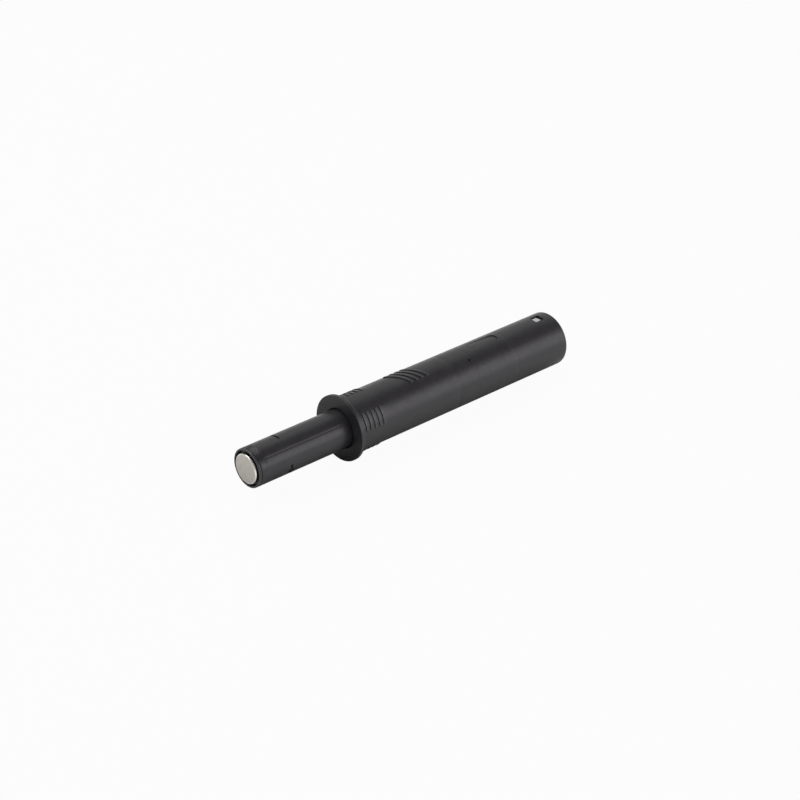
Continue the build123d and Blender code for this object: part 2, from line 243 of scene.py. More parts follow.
def turn_at(across):
    """Angle from the top at which the body's surface is `across` to the side of the axis."""
    return np.arcsin(np.asarray(across) / body_radius)


def plateau(value, half, side):
    """1 where |value| is under half, 0 past half + side, and a straight slope between."""
    return np.clip((half + side - np.abs(value)) / side, 0, 1)


def around(place, half):
    """Rows at the top and at the foot of both steep sides of a plateau."""
    return place + np.array([-half - step, -half, half, half + step])


# %% Rows on every edge
row_room = 0.08 * mm  # a filling row nearer than this to an edge is left out
barb_rows = np.concatenate([barb_places - step, barb_places, barb_places + barb_run])
rib_rows = around(rib_places[:, None], rib_half).ravel()
seam_rows = (seam_places[:, None] + seam_half * v_groove).ravel()
field_rows = [field_front - step, field_front, field_rear, field_rear + step]
gate_offsets = gate_radius * np.linspace(-1.1, 1.1, 10)
gate_rows, window_rows = gate_place + gate_offsets, [window_front, window_rear]
exact = np.concatenate([barb_rows, rib_rows, seam_rows, field_rows, gate_rows, window_rows])
# The ribs' rows lean, so they stand closest. The smooth rear needs the fewest.
filling = np.concatenate([np.arange(7, 21.5, 0.4), np.arange(24, 40, 0.5), np.arange(41, 44.5, 1.2)]) * mm
filling = filling[np.abs(filling[:, None] - exact).min(axis=1) > row_room]
body_rows = np.unique(np.round(np.concatenate([exact, filling]), 8))
print(len(body_rows), "rows on the body")

# %% Columns on every edge
wall, key_half = 0.8 * mm, 0.5 * mm
bore_radius = body_radius - wall
patch_edges = patch_middles[:, None, None] + both * [patch_half, patch_half + patch_side]
window_turn = float(turn_at(window_half))
window_edges = [-window_turn, window_turn, np.pi - window_turn, np.pi + window_turn]
arc_columns = turn_at(field_half * np.sin(np.linspace(-np.pi / 2, np.pi / 2, 15)))
steep_columns = turn_at(both * [rib_span, rib_span + rib_end, field_half + step])
gate_columns = gate_turn + gate_offsets / body_radius
# Inside, columns by the windows are spread, so that the windows' side walls stand parallel.
spreading = float(np.arcsin(window_half / bore_radius)) / window_turn
key_edges = np.arcsin(both * [key_half, key_half + step] / bore_radius) / spreading
key_columns = [key_edges, key_edges + np.pi]
turns = columns_with(patch_edges, window_edges, arc_columns, steep_columns, gate_columns, key_columns)
print(len(turns), "columns on the body")

# %% Height of each point of the body
far_across = 10 * mm  # stands for the tube's lower half, which has no ribs and no field


def body_relief(along, turn):
    """How far the surface stands out of the plain cylinder, before the rows are bent.

    Barbs rise at once and slope away, inside four patches; ribs are flat-topped; seams are shallow
    V-grooves; the field is sunk, deeper to the rear; the gate mark is a small round pit.
    """
    across = np.where(np.abs(turn) < np.pi / 2, body_radius * np.sin(turn), far_across)
    knots = (barb_places[:, None] + np.array([-step, 0, barb_run])).ravel()
    heights = np.tile([0, barb_height, 0], len(barb_places))
    in_patch = sum(plateau(wrapped(turn - middle), patch_half, patch_side) for middle in patch_middles)
    relief = np.interp(along, knots, heights) * in_patch
    on_ribs = plateau(across, rib_span, rib_end)
    for place in rib_places:
        relief = relief + rib_height * plateau(along - place, rib_half, step) * on_ribs
    for place in seam_places:
        relief = relief - seam_depth * np.clip(1 - np.abs(along - place) / seam_half, 0, 1)
    middle, half = (field_front + field_rear) / 2, (field_rear - field_front) / 2
    deepening = np.interp(along, [field_front, field_rear - field_half], [field_start, 1])
    inside = plateau(along - middle, half, step) * plateau(across, field_half, step)
    relief = relief - field_depth * deepening * inside
    away = np.hypot(along - gate_place, body_radius * wrapped(turn - gate_turn)) / gate_radius
    return relief - gate_depth * np.clip((1 - away) / gate_side, 0, 1)


# %% Place of each point of the body
lean_rows = np.array([7.5, 11.8, 16.8, 21.0]) * mm  # straight, leaning, leaning, straight
bow_front, bow_rear = 27.4 * mm, 36.4 * mm  # straight again before and behind the field
shift_turns = np.radians([26, 75])  # the shift fades out between these angles from the top


def row_shift(along, turn):
    """How far a row is moved along the axis, so that rows follow slanted and round edges.

    Near the ribs the shift is lean times the distance across. At the field's ends it is the sag of a
    circle, R - sqrt(R^2 - x^2), forwards at the front end and backwards at the rear one.
    """
    across = body_radius * np.sin(np.clip(turn, -np.pi / 2, np.pi / 2))
    fade = np.interp(np.abs(turn), shift_turns, [1, 0])
    by_ribs = np.interp(along, lean_rows, [0, 1, 1, 0])
    lean = rib_lean * np.clip(across, -rib_span, rib_span) * fade * by_ribs
    inside = np.clip(across, -field_half, field_half)
    sag = field_half - np.sqrt(field_half**2 - inside**2)
    by_field = np.interp(along, [bow_front, field_front, field_rear, bow_rear], [0, 1, -1, 0])
    return lean + sag * by_field * fade


# %% [markdown]
# ## The housing
#
# One closed profile runs along the outside, round the rear end, back through the bore and out past
# the plunger's guide. The parts between corners come from `eased`, the long outer stretch carries the
# relief. Snap windows go right through the wall. A Boolean could cut them, but it leaves ragged
# shading round the cut, so the quads between their edges are left out of the outer and of the inner
# surface, and four walls join the two holes. The mouth of the guide is flared a little, and the
# flange's rear edge is rounder than its front one.

# %% Housing profile
guide_radius = sleeve_radius + 0.075 * mm
guide_end = 4.4 * mm
root = 0.17 * mm  # the small cone where the tube meets the flange
relief_start, relief_end = 0.7 * mm, window_rear + 0.4 * mm
key_front, key_rear, key_height = guide_end, cap_front - 0.1 * mm, 0.7 * mm

front = eased(
    [(guide_radius, guide_end), (guide_radius, flange_front), (flange_radius, flange_front),
     (flange_radius, 0), (body_radius + root, 0), (body_radius, root), (body_radius, relief_start)],
    np.array([0, 0.26, 0.06, 0.3, 0.03, 0.03, 0]) * mm,
)
rear = eased(
    [(body_radius, relief_end), (body_radius, body_rear), (bore_radius, body_rear),
     (bore_radius, relief_end)],
    np.array([0, 0.2, 0.06, 0]) * mm,
)
bore_rows = np.array([window_rear, window_front, key_rear, key_rear - step, key_front + step, guide_end])
profile = np.concatenate([front, stretch(body_radius, body_rows), rear, stretch(bore_radius, bore_rows)])
first_body, first_bore = len(front), len(profile) - len(bore_rows)
print(len(profile), "stations on the housing's profile")

# %% Housing points
radius, along, turn = profile[:, :1], profile[:, 1:], turns[None, :]
station = np.arange(len(profile))[:, None]
on_body = (station >= first_body) & (station < first_body + len(body_rows))
on_bore = station >= first_bore - 1

from_vertical = np.arctan(np.tan(turn))
spread = np.interp(np.abs(from_vertical), [0, window_turn, radians(45)], [0, 1, 0])
turn_inside = turn + np.sign(from_vertical) * spread * (spreading - 1) * window_turn
key = np.interp(along, [key_front, key_front + step, key_rear - step, key_rear], [0, 1, 1, 0])
key = key * plateau(bore_radius * np.sin(np.arctan(np.tan(turn_inside))), key_half, step)
relief = on_body * body_relief(along, turn)
points = round_points(
    np.where(on_bore, turn_inside, turn),
    radius + relief - on_bore * key_height * key,
    along + on_body * row_shift(along, turn),
)
print("relief from", in_mm(relief.min()), "to", in_mm(relief.max()), "mm")

# %% Where the housing is rubbed, and its painted highlight
# The crests of the barbs and the tops of the ribs are lighter where the hole rubs them. The flange's rear outer
# edge gets a painted highlight: the material lightens it there, as if it caught light.
rim_width, rim_front, rim_highlight_share = 0.15 * mm, -0.25 * mm, 0.7
rim_highlight_mask = (station < first_body) & (radius > flange_radius - rim_width) & (along > rim_front)
wear_and_highlight = np.clip(relief / barb_height, 0, 1) ** 2 + rim_highlight_share * rim_highlight_mask
print(f"{(wear_and_highlight > 0).mean():.0%} of the housing's points are rubbed")

# %% Housing faces, with the snap windows open
quads = grid_quads(len(profile), len(turns))
columns = len(turns)
row_of = {
    "outer front": first_body + int(np.abs(body_rows - window_front).argmin()),
    "outer rear": first_body + int(np.abs(body_rows - window_rear).argmin()),
    "inner rear": first_bore,
    "inner front": first_bore + 1,
}
assert row_of["outer rear"] == row_of["outer front"] + 1, "no row between a window's two ends"
in_window = np.abs(body_radius * np.sin(turns)) < window_half - 0.001 * mm
left_edges = np.array([[-window_turn], [np.pi - window_turn]])
starts = in_window | np.isclose(turns, left_edges).any(axis=0)
open_rows = (station == row_of["outer front"]) | (station == row_of["inner rear"])
kept = quads[~(open_rows & starts)]

left = np.flatnonzero(starts)
right = (left + 1) % columns


def joined(outer_row, inner_row):
    """Quads from the outer to the inner surface, along one row's open columns."""
    outer, inner = row_of[outer_row] * columns, row_of[inner_row] * columns
    return np.stack([outer + left, outer + right, inner + right, inner + left], axis=-1)


sides = np.flatnonzero(np.isclose(np.abs(np.sin(turns)), np.sin(window_turn)))
side_walls = np.stack([row_of[name] * columns + sides for name in row_of], axis=-1)
end_walls = np.concatenate([joined("outer front", "inner front"), joined("outer rear", "inner rear")])
faces = np.concatenate([kept, side_walls, end_walls])
housing_skin = make_piece("housing_skin", points, faces, "housing_body", "black_plastic", wear_and_highlight=wear_and_highlight)
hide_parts("housing")

# %% [markdown]
# ## The plunger sleeve
#
# The sleeve that stands out of the flange is turned by hand to set the depth. A short bar and a
# cross, moulded a little below the surface, show the two ways to turn it. Its end is softly rounded
# to a narrow lip round the magnet. A groove sets off that lip, a few fine lines lie behind the groove
# on one side, and a faint step runs along each place where the mould's halves met. Bump in the
# material could draw them, but the mesh is used by itself too, so they are part of the surface. The
# same kind of grid makes them, with rows and columns on their edges.

# %% Sleeve sizes
bar_place, bar_turn, bar_half, bar_reach = -14.0 * mm, radians(-12), 0.16 * mm, radians(21)
cross_place, cross_turn, cross_half, cross_reach = -13.7 * mm, radians(117), 0.2 * mm, 0.62 * mm
mark_depth = 0.2 * mm
cross_wide = cross_half / sleeve_radius
reach_wide = cross_reach / sleeve_radius * 1.9  # the arm that goes round the sleeve is longer
step_wide = step / sleeve_radius
parting_turns, parting_depth = np.radians([49.5, -130.5]), 0.036 * mm
parting_slope, parting_step = 0.36 * mm / sleeve_radius, 0.12 * mm / sleeve_radius
parting_start = sleeve_tip + 1.5 * mm
groove_place, groove_half, groove_depth = sleeve_tip + 0.48 * mm, 0.11 * mm, 0.13 * mm
line_places = groove_place + (0.33 + 0.33 * np.arange(3)) * mm
line_half, line_depth = 0.13 * mm, 0.11 * mm
line_middle, line_fade = radians(17), np.radians([25, 50])
print("bar at", in_mm(bar_place), "cross at", in_mm(cross_place), "fine lines at", in_mm(*line_places))

# %% Sleeve rows and columns
plain_rows = np.arange(-18, 3, 1.5) * mm
sleeve_rows = np.unique(np.round(np.concatenate([
    around(bar_place, bar_half), around(cross_place, cross_half), around(cross_place, cross_reach),
    groove_place + groove_half * v_groove, (line_places[:, None] + line_half * v_groove).ravel(),
    plain_rows,
]), 8))
sleeve_turns = columns_with(
    parting_turns[:, None] + np.array([-parting_slope, 0, parting_step]),
    bar_turn + both * [bar_reach, bar_reach + step_wide],
    cross_turn + both * [cross_wide, cross_wide + step_wide, reach_wide, reach_wide + step_wide],
)
print(len(sleeve_rows), "rows by", len(sleeve_turns), "columns on the sleeve")

# %% Sleeve relief
def sleeve_relief(along, turn):
    """Depth of the marks, turned outwards: the bar, and the two arms of the cross, each a plateau.

    A V-groove sets off the lip. The finer ones behind it fade out beside line_middle. Along the two
    places where the mould's halves met runs a faint step, sunk slowly on one side of it.
    """
    off = wrapped(turn - cross_turn)
    bar = plateau(along - bar_place, bar_half, step)
    bar = bar * plateau(wrapped(turn - bar_turn), bar_reach, step_wide)
    long_arm = plateau(along - cross_place, cross_half, step) * plateau(off, reach_wide, step_wide)
    short_arm = plateau(along - cross_place, cross_reach, step) * plateau(off, cross_wide, step_wide)
    depth = mark_depth * np.maximum(bar, np.maximum(long_arm, short_arm))
    depth = depth + groove_depth * np.clip(1 - np.abs(along - groove_place) / groove_half, 0, 1)
    fading = np.interp(np.abs(wrapped(turn - line_middle)), line_fade, [1, 0])
    for place in line_places:
        depth = depth + fading * line_depth * np.clip(1 - np.abs(along - place) / line_half, 0, 1)
    for place in parting_turns:
        sunk = np.interp(wrapped(turn - place), [-parting_slope, 0, parting_step], [0, 1, 0])
        depth = depth + parting_depth * sunk * (along > parting_start)
    return -depth


# %% Sleeve
lip, tip_edge_end, rear_edge_start = 0.35 * mm, sleeve_tip + 0.34 * mm, sleeve_rear - 0.4 * mm
pocket_radius, bore_inside, pin_hole = sleeve_radius - lip, 2.55 * mm, 1.0 * mm
pocket_floor, web_rear = sleeve_tip + 8.1 * mm, sleeve_tip + 9.3 * mm
lip_highlight_end, lip_highlight_width = sleeve_tip + 0.12 * mm, 0.2 * mm
tip_edge = eased(
    [(pin_hole, web_rear), (pin_hole, pocket_floor), (pocket_radius, pocket_floor),
     (pocket_radius, sleeve_tip), (sleeve_radius, sleeve_tip), (sleeve_radius, tip_edge_end)],
    np.array([0, 0.03, 0.03, 0.06, 0.2, 0]) * mm,
)
rear_edge = eased(
    [(sleeve_radius, rear_edge_start), (sleeve_radius, sleeve_rear), (bore_inside, sleeve_rear),
     (bore_inside, web_rear)],
    np.array([0, 0.15, 0.12, 0]) * mm,
)
profile = np.concatenate([tip_edge, stretch(sleeve_radius, sleeve_rows), rear_edge])
radius, along, turn = profile[:, :1], profile[:, 1:], sleeve_turns[None, :]
station = np.arange(len(profile))[:, None]
on_skin = (station >= len(tip_edge)) & (station < len(tip_edge) + len(sleeve_rows))
points = round_points(turn, radius + on_skin * sleeve_relief(along, turn), along)
# A painted highlight on the lip's rounded outer edge: the material lightens these points.
on_lip = (along < lip_highlight_end) & (radius > sleeve_radius - lip_highlight_width)
wear_and_highlight = on_lip * np.ones_like(turn)
faces = grid_quads(len(profile), len(sleeve_turns))
sleeve_skin = make_piece("sleeve_skin", points, faces, "sleeve_body", "sleeve_plastic", wear_and_highlight=wear_and_highlight)
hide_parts("plunger_sleeve")

# %% [markdown]
# ## The magnet
#
# The magnet is a plated slug, held a little proud of the lip so that it alone touches the strike. Its
# face is flat with a small tumbled edge. A cylinder with a bevel would have the same shape, but its
# face would be one many-sided polygon. A profile that starts and ends on the axis closes the grid in
# two poles, and its rows split the face into rings of quads.

# %% Magnet
tumble, back_edge = 0.24 * mm, 0.05 * mm
highlight_from, highlight_to = magnet_radius - 0.2 * mm, magnet_front + 0.3 * mm
face_radii = np.linspace(0, magnet_radius - 0.3 * mm, 9)
edge = eased(
    [(0, magnet_front), (magnet_radius, magnet_front), (magnet_radius, magnet_rear), (0, magnet_rear)],
    [0, tumble, back_edge, 0],
)
profile = np.concatenate([stretch(face_radii, magnet_front), edge[1:]])
radius, along = profile[:, :1], profile[:, 1:]
disc_turns = columns_with(count=128)
points = round_points(disc_turns[None, :], radius, along)
faces = grid_quads(len(profile), len(disc_turns))[:-1]
# A painted highlight on the rounded edge of the face: the plating takes a bright colour there.
edge_highlight_mask = (radius > highlight_from) & (along < highlight_to)
wear_and_highlight = edge_highlight_mask * np.ones_like(disc_turns)
magnet_disc = make_piece("magnet_disc", points, faces, "magnet_unit", "magnet_plating", sharp=40, wear_and_highlight=wear_and_highlight)
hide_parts("magnet")

# %% [markdown]
# ## The ejection spring and the latch wire
#
# The compression spring pushes the plunger out. The latch wire is its opponent: its foot runs in the
# ejector's heart-shaped track and hooks into the notch there, and its other end sits in the end cap.
# A curve with a round bevel would make both. Here each is a tube carried along a path, with every
# ring square to the wire and both ends closed, so the finished mesh needs no conversion. The spring's
# end turns lie close together, as on a real ground spring. When the plunger goes in, the spring
# flattens along the axis towards the end cap.

# %% Tube along a path
def tube(path, thickness, guide, sides=14):
    """Round wire: path point + r (cos a * across + sin a * upward), with both ends closed by a pole.

    across is the part of the fixed direction `guide` that is square to the path, and upward is
    square to both.
    """
    along = np.gradient(path, axis=0)
    along /= np.linalg.norm(along, axis=1, keepdims=True)
    across = guide - (along @ guide)[:, None] * along
    across /= np.linalg.norm(across, axis=1, keepdims=True)
    upward = np.cross(along, across)
    angle = np.linspace(0, 2 * np.pi, sides, endpoint=False)[None, :, None]
    spokes = np.cos(angle) * across[:, None] + np.sin(angle) * upward[:, None]
    rings = path[:, None] + thickness / 2 * spokes
    ends = np.repeat(path[[0, -1], None], sides, axis=1)
    points = np.concatenate([ends[:1], rings, ends[1:]]).reshape(-1, 3)
    return points, grid_quads(len(path) + 2, sides)[:-1]


joints = {joint["name"]: joint for joint in frame["joints"]}
print("joints:", *joints)

# %% Ejection spring
spring_low, spring_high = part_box("ejection_spring")
spring_wire, coil_count, steps_per_coil = 0.45 * mm, 12, 36
coil_radius = (spring_high.x - spring_low.x) / 2 - spring_wire / 2
length = spring_high.y - spring_low.y
coils = np.linspace(0, coil_count, coil_count * steps_per_coil + 1)
# Place along the axis against coils: the first and the last lie close, the rest are open.
closed = spring_wire * 1.05 / (length - spring_wire)
share = np.interp(coils, [0, 1, coil_count - 1, coil_count], [0, closed, 1 - closed, 1])
coil_places = spring_low.y + spring_wire / 2 + share * (length - spring_wire)
path = round_points(2 * np.pi * coils, coil_radius, coil_places)
axis = np.array([0.0, 1.0, 0.0])
spring_coil = make_piece("spring_coil", *tube(path, spring_wire, axis), "housing_body", "spring_steel")
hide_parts("ejection_spring")
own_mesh(spring_coil)

# %% Latch wire
follower, hook_reach, bend = 0.6 * mm, 1.4 * mm, 0.45 * mm
wire_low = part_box("latch_wire")[0]
hook = np.array(joints["latch_swing"]["pos_m"])
foot = np.array([hook[0], wire_low.y + follower / 2, wire_low.z + follower / 2])
toe = foot * [0, 1, 1] + [wire_low.x, 0, 0]
path = eased([toe, foot, hook, hook - [hook_reach, 0, 0]], [0, bend, bend, 0])
upright = np.array([0.0, 0.0, 1.0])
latch_follower = make_piece("latch_follower", *tube(path, follower, upright), "wire_body", "spring_steel")
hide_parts("latch_wire")
print("latch wire from", in_mm(*toe), "to", in_mm(*path[-1]))

# %% [markdown]
# ## Finishes
#
# The catch is moulded from a few plastics, each with a satin skin. A flat colour would look like a
# drawing, and an image would need the surface unwrapped, so every finish is worked out by nodes from
# the object's own coordinates, and nothing slides when a part moves. A helper makes the node tree: it
# mixes two near shades by soft noise, varies the roughness by another, and lets very fine noise raise
# the surface by a few thousandths of a millimetre, as a mould that was sparked rather than polished
# does. Where a point's number for rubbing and highlights is high, the plastic gets a little lighter and
# smoother: on the housing's barbs and ribs the hole rubs it, and on the flange's outer edge and the
# sleeve's lip this lighter colour is a painted highlight.

# %% Node helpers
def add_node(tree, kind, inputs=None, **settings):
    """A node with its settings and inputs, where an input is a number, a colour or a socket."""
    node = tree.nodes.new(kind)
    for setting, value in settings.items():
        setattr(node, setting, value)
    for socket, value in (inputs or {}).items():
        if isinstance(value, bpy.types.NodeSocket):
            tree.links.new(value, node.inputs[socket])
        else:
            node.inputs[socket].default_value = value
    return node


class Finish:
    """A node material under construction: its shader, its coordinates, and ways to add nodes."""

    def __init__(self, name):
        self.material = bpy.data.materials.new(name)
        self.material.use_nodes = True
        self.tree = self.material.node_tree
        self.shader = self.tree.nodes["Principled BSDF"]
        self.coords = self.add("ShaderNodeTexCoord").outputs["Object"]
        print("finish", name)

    def add(self, kind, inputs=None, **settings):
        return add_node(self.tree, kind, inputs, **settings)

    def calc(self, operation, *values, **settings):
        """Result of one Math node, as in calc("MULTIPLY", socket, 2)."""
        return self.add("ShaderNodeMath", dict(enumerate(values)), operation=operation, **settings).outputs[0]

    def noise(self, size, detail=2.0, coords=None):
        """Soft noise whose lumps are about `size` metres across."""
        values = {"Vector": coords or self.coords, "Scale": 1 / size, "Detail": detail}
        return self.add("ShaderNodeTexNoise", values).outputs["Fac"]

    def between(self, value, low, high, from_low=0.3, from_high=0.7):
        """value, moved from one range of numbers, at first the one that noise fills, to another."""
        values = {"Value": value, "From Min": from_low, "From Max": from_high, "To Min": low, "To Max": high}
        return self.add("ShaderNodeMapRange", values).outputs["Result"]

    def blend(self, share, first, second):
        """Colour between first and second, which are colours or sockets."""
        first, second = ((*end, 1) if isinstance(end, tuple) else end for end in (first, second))
        values = {0: share, 6: first, 7: second}
        return self.add("ShaderNodeMix", values, data_type="RGBA").outputs[2]

    def link(self, value, socket):
        self.tree.links.new(value, self.shader.inputs[socket])

    def raised(self, height, amount, under=None):
        """Surface normal with `height` raised by `amount` metres."""
        values = {"Height": height, "Distance": amount, "Strength": 1.0}
        if under is not None:
            values["Normal"] = under
        return self.add("ShaderNodeBump", values).outputs["Normal"]


# %% Plastics
def plastic(name, dark, light, rubbed_and_highlit, rough, height=0.0022 * mm):
    """Moulded plastic: two shades, uneven gloss, a sparked grain, and a lighter colour where it is rubbed and
    where a highlight is painted.
    """
    finish = Finish(name)
    shade = finish.blend(finish.between(finish.noise(2.5 * mm, 3), 0, 1), dark, light)
    attribute = finish.add("ShaderNodeAttribute", attribute_name="wear_and_highlight").outputs["Fac"]
    patchy = finish.between(finish.noise(0.35 * mm, 4), 0.1, 0.8)
    wear_and_highlight_share = finish.calc("MULTIPLY", attribute, patchy)
    finish.link(finish.blend(wear_and_highlight_share, shade, rubbed_and_highlit), "Base Color")
    uneven = finish.between(finish.noise(0.8 * mm, 4), rough - 0.04, rough + 0.05)
    finish.link(finish.calc("MULTIPLY_ADD", wear_and_highlight_share, -0.1, uneven), "Roughness")
    sink_marks = finish.raised(finish.noise(1.6 * mm, 1), 4.5 * height)
    finish.link(finish.raised(finish.noise(0.09 * mm, 3), height, under=sink_marks), "Normal")
    return finish.material


# On the housing the lighter colour shows where barbs and ribs are rubbed, and it paints a highlight on the
# flange's rear outer edge.
black_plastic = plastic(
    "satin_black", dark=(0.0230, 0.0212, 0.0236), light=(0.0292, 0.0268, 0.0299),
    rubbed_and_highlit=(0.085, 0.082, 0.086), rough=0.36,
)
# On the sleeve the lighter colour is a painted highlight on the lip.
sleeve_plastic = plastic(
    "satin_black_sleeve", dark=(0.0245, 0.0225, 0.0251), light=(0.0312, 0.0286, 0.0319),
    rubbed_and_highlit=(0.12, 0.117, 0.12), rough=0.33,
)
cap_plastic = plastic(
    "grey_lilac", dark=(0.62, 0.62, 0.67), light=(0.70, 0.70, 0.75),
    rubbed_and_highlit=(0.74, 0.74, 0.79), rough=0.42, height=0.0015 * mm,
)
cam_plastic = plastic(
    "natural_white", dark=(0.58, 0.56, 0.50), light=(0.66, 0.64, 0.58),
    rubbed_and_highlit=(0.7, 0.68, 0.62), rough=0.4, height=0.0012 * mm,
)

# %% [markdown]
# ## Plating, spring steel and rubber
#
# The magnet is nickel plated over a ground face, so very fine rings run round its middle under the
# plating's own haze. Spring wire is bright but drawn, with long soft streaks. The friction ring is
# matt rubber with a dusty bloom. Metals take nearly all of their look from what they mirror, so
# their detail is in roughness and bump, and only a little in colour. The anisotropic shader setting
# could stretch highlights too, but fine lines in the bump do it with a grain that can be seen.

# %% Metals
# The colour of a painted highlight on the magnet's rounded edge.
edge_highlight_colour = (0.86, 0.83, 0.79)


def metal(name, tint, tarnish, rough, lines_of, height=0.0008 * mm):
    """Plated or drawn metal: hazy tarnish, fine lines from `lines_of`, and edges with a painted highlight."""
    finish = Finish(name)
    haze = finish.between(finish.noise(0.9 * mm, 5), 0, 1)
    wear_and_highlight_share = finish.add("ShaderNodeAttribute", attribute_name="wear_and_highlight").outputs["Fac"]
    finish.link(finish.blend(wear_and_highlight_share, finish.blend(haze, tint, tarnish), edge_highlight_colour), "Base Color")
    finish.shader.inputs["Metallic"].default_value = 1
    uneven = finish.between(finish.noise(0.25 * mm, 4), rough - 0.05, rough + 0.07)
    finish.link(finish.calc("MULTIPLY_ADD", wear_and_highlight_share, -0.14, uneven), "Roughness")
    finish.link(finish.raised(lines_of(finish), height), "Normal")
    return finish.material


def ring_lines(finish):
    """Noise that changes only with the distance from the catch's axis, the square root of x^2 + z^2."""
    flat = finish.add("ShaderNodeVectorMath", {0: finish.coords, 1: (1, 0, 1)}, operation="MULTIPLY")
    away = finish.add("ShaderNodeVectorMath", {0: flat.outputs[0]}, operation="LENGTH").outputs["Value"]
    values = {"W": finish.calc("MULTIPLY", away, 1 / (0.05 * mm)), "Scale": 1.0, "Detail": 3.0}
    return finish.add("ShaderNodeTexNoise", values, noise_dimensions="1D").outputs["Fac"]


def drawn_lines(finish):
    """Noise stretched ten times along the catch, as the die leaves it on wire and strip."""
    values = {0: finish.coords, 1: (1, 0.1, 1)}
    stretched = finish.add("ShaderNodeVectorMath", values, operation="MULTIPLY")
    return finish.noise(0.05 * mm, 2, stretched.outputs[0])


magnet_plating = metal("nickel_plate", (0.62, 0.585, 0.54), (0.56, 0.525, 0.48), 0.34, ring_lines)
spring_steel = metal(
    "drawn_steel", (0.60, 0.60, 0.61), (0.50, 0.50, 0.52), 0.28, drawn_lines, height=0.0004 * mm
)

# %% Rubber
rubber = Finish("matt_rubber")
bloom = rubber.between(rubber.noise(0.5 * mm, 4), 0, 1)
rubber.link(rubber.blend(bloom, (0.018, 0.018, 0.018), (0.035, 0.034, 0.033)), "Base Color")
rubber.link(rubber.between(rubber.noise(0.2 * mm, 3), 0.62, 0.8), "Roughness")
rubber.link(rubber.raised(rubber.noise(0.05 * mm, 3), 0.002 * mm), "Normal")

# %% Dress every piece
finishes = {
    "black_plastic": black_plastic, "sleeve_plastic": sleeve_plastic, "cap_plastic": cap_plastic,
    "cam_plastic": cam_plastic, "magnet_plating": magnet_plating, "spring_steel": spring_steel,
    "ring_rubber": rubber.material,
}
slot_of_node = {part["node"]: part["material_slot"] for part in frame["record"]["subparts"]}
for name, node in frame["nodes"].items():
    node.data.materials.clear()
    node.data.materials.append(finishes[slot_of_node[name]])
new_pieces = {
    housing_skin: black_plastic, sleeve_skin: sleeve_plastic, magnet_disc: magnet_plating,
    spring_coil: spring_steel, latch_follower: spring_steel,
}
for piece, finish in new_pieces.items():
    piece.data.materials.append(finish)
print("dressed", len(frame["nodes"]), "CAD nodes and", len(new_pieces), "new pieces")

# %% [markdown]
# ## Floor
#
# The catch lies on a pale sheet, on its flange's lowest point and its tube's rear edge, so the sheet
# is tilted by about a degree to touch both. White paint and more light could make the sheet white,
# but that would wash out the catch. Instead a camera ray sees mostly a white glow, and mirrored rays
# see it away from the catch. Close to the catch they see paper that is lit as paper is, so the soft
# shadow stays in view and in reflections.

# %% Floor sheet
touch_y, sheet_gap, sheet_half = -0.25 * mm, 0.02 * mm, 0.9
slope = (flange_radius - body_radius) / (body_rear - touch_y)
reach = np.array([-sheet_half, sheet_half])
floor_x, floor_y = np.meshgrid(reach, reach)
floor_z = -flange_radius + slope * (floor_y - touch_y) - sheet_gap
floor_points = np.stack([floor_x, floor_y, floor_z], axis=-1).reshape(-1, 3)
floor_mesh = bpy.data.meshes.new("floor")
floor_mesh.from_pydata(floor_points.tolist(), [], [(0, 1, 3, 2)])
floor = bpy.data.objects.new("floor", floor_mesh)
bpy.context.scene.collection.objects.link(floor)
print("floor tilted by", round(float(np.degrees(np.arctan(slope))), 2), "degrees")

# %% Floor finish
camera_share, mirror_share = 0.955, 0.94
paper_near, paper_far = 5 * mm, 26 * mm  # mirrored rays see paper up to here, and the glow from there
right_scale, left_scale = 1.9, -0.5  # x counts for less on the left, where the catch's shadow falls
middle_y, half_y = (cad_low.y + cad_high.y) / 2, 0.4 * (cad_high.y - cad_low.y)

paper = Finish("pale_sheet")
paper.link(paper.blend(paper.noise(60 * mm, 2), (0.50, 0.50, 0.50), (0.54, 0.54, 0.54)), "Base Color")
paper.shader.inputs["Roughness"].default_value = 0.9
ray = paper.add("ShaderNodeLightPath").outputs
direct = paper.calc("MAXIMUM", ray["Is Camera Ray"], ray["Is Transmission Ray"])
# Away from the catch, measured along the sheet: the root of beside^2 + (|y - middle| - half)^2.
place = paper.add("ShaderNodeSeparateXYZ", {0: paper.coords}).outputs
off_middle = paper.calc("ABSOLUTE", paper.calc("SUBTRACT", place["Y"], middle_y))
past_end = paper.calc("SUBTRACT", off_middle, half_y, use_clamp=True)
to_right = paper.calc("MULTIPLY", place["X"], right_scale)
to_left = paper.calc("MULTIPLY", place["X"], left_scale)
offset = paper.add("ShaderNodeCombineXYZ", {0: paper.calc("MAXIMUM", to_right, to_left), 1: past_end})
away = paper.add("ShaderNodeVectorMath", {0: offset.outputs[0]}, operation="LENGTH").outputs["Value"]
farther = paper.between(away, 0.0, mirror_share, from_low=paper_near, from_high=paper_far)
mirrored = paper.calc("MULTIPLY", ray["Is Glossy Ray"], farther)
share = paper.calc("MULTIPLY_ADD", direct, camera_share, mirrored)
glow = paper.add("ShaderNodeEmission", {"Color": (1, 1, 1, 1), "Strength": 1.0})
mixed = paper.add("ShaderNodeMixShader", {0: share, 1: paper.shader.outputs[0], 2: glow.outputs[0]})
paper.tree.links.new(mixed.outputs[0], paper.tree.nodes["Material Output"].inputs["Surface"])
floor_mesh.materials.append(paper.material)

# %% [markdown]
# ## Light
#
# A white room lights the catch from all round, less from the front. One large softbox low on the
# right gives the tube its long soft highlight, and the room is darker high up behind, which draws the
# dark band beside it. A smaller softbox overhead lights the tube's back, and one at the front left
# catches the rounded edges of the magnet, the lip and the flange. A single sun lamp would be simpler,
# but satin plastic shows what it mirrors, so broad soft shapes are what models its roundness.

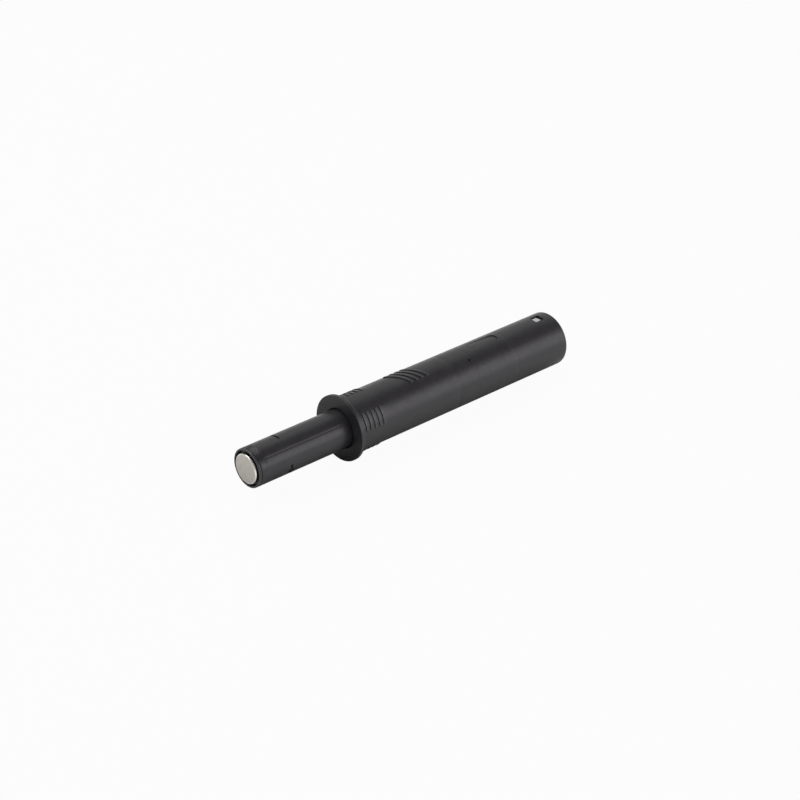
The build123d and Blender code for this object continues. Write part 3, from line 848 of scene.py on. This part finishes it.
# %% Room
room = bpy.data.worlds.new("room")
room.use_nodes = True
bpy.context.scene.world = room
room_tree = room.node_tree
direction = add_node(room_tree, "ShaderNodeTexCoord").outputs["Generated"]


def towards(place, low, high, from_low, from_high):
    """low, rising smoothly to high as the cosine of the angle to `place` goes between two values."""
    values = {0: direction, 1: Vector(place).normalized()}
    cosine = add_node(room_tree, "ShaderNodeVectorMath", values, operation="DOT_PRODUCT").outputs["Value"]
    values = {"Value": cosine, "From Min": from_low, "From Max": from_high, "To Min": low, "To Max": high}
    smooth = add_node(room_tree, "ShaderNodeMapRange", values, interpolation_type="SMOOTHSTEP")
    return smooth.outputs["Result"]


front_to_back = towards((0, 1, 0), low=0.22, high=0.64, from_low=-0.5, from_high=0.2)
dark_patch = towards((0.20, 0.58, 0.79), low=1.0, high=0.13, from_low=0.86, from_high=0.975)
brightness = add_node(room_tree, "ShaderNodeMath", {0: front_to_back, 1: dark_patch}, operation="MULTIPLY")
seen = add_node(room_tree, "ShaderNodeLightPath").outputs["Is Camera Ray"]
strength = add_node(room_tree, "ShaderNodeMix", {"Factor": seen, "A": brightness.outputs[0], "B": 1.0})
backdrop = room_tree.nodes["Background"].inputs
backdrop["Color"].default_value = (1, 1, 1, 1)
room_tree.links.new(strength.outputs["Result"], backdrop["Strength"])
print("room with", len(room_tree.nodes), "nodes")

# %% Softboxes
catch_middle = Vector((0, middle_y, 0))


def softbox(name, toward, width, height, radiance, tint=(1.0, 1.0, 1.0), distance=0.6):
    """Area lamp at `distance` from the catch in the direction `toward`, facing it."""
    lamp = bpy.data.lights.new(name, "AREA")
    lamp.shape, lamp.size, lamp.size_y = "RECTANGLE", width, height
    lamp.energy = 4 * width * height * radiance
    lamp.color = tint
    stand = bpy.data.objects.new(name, lamp)
    away = Vector(toward).normalized()
    stand.location = catch_middle + distance * away
    stand.rotation_euler = away.to_track_quat("Z", "Y").to_euler()
    stand.visible_camera = False
    bpy.context.scene.collection.objects.link(stand)
    print(name, round(lamp.energy, 3), "W at", in_mm(*stand.location), "mm")


softbox("side_softbox", (0.79, 0.58, 0.20), width=0.6, height=0.40, radiance=1.2, tint=(1.0, 0.96, 1.04))
softbox("overhead_softbox", (-0.33, 0.05, 0.94), width=0.3, height=0.3, radiance=1.8, tint=(1.0, 0.98, 1.0))
softbox("front_softbox", (-0.37, -0.67, 0.63), width=0.45, height=0.22, radiance=2.4)

# %% [markdown]
# ## Camera and settings
#
# The camera looks down at the catch from its front right. It stands close by, so the tip is a little
# larger than the rear; a longer lens from farther off would flatten that. The Standard view
# transform shows colours as they are written.

# %% Camera
lens = bpy.data.cameras.new("camera")
lens.lens, lens.sensor_width, lens.clip_start = 90, 36, 0.005
camera = bpy.data.objects.new("camera", lens)
camera.location = Vector((221.4, -188.1, 163.2)) * mm
turned, lowered = 0.8337, 0.4986  # radians: from +Y towards -X, and below the horizon
view = Vector((-cos(lowered) * sin(turned), cos(lowered) * cos(turned), -sin(lowered)))
camera.rotation_euler = view.to_track_quat("-Z", "Y").to_euler()
bpy.context.scene.collection.objects.link(camera)
bpy.context.scene.camera = camera
bpy.context.scene.view_settings.view_transform = "Standard"
print("camera", in_mm((camera.location - catch_middle).length), "mm from the catch's middle")
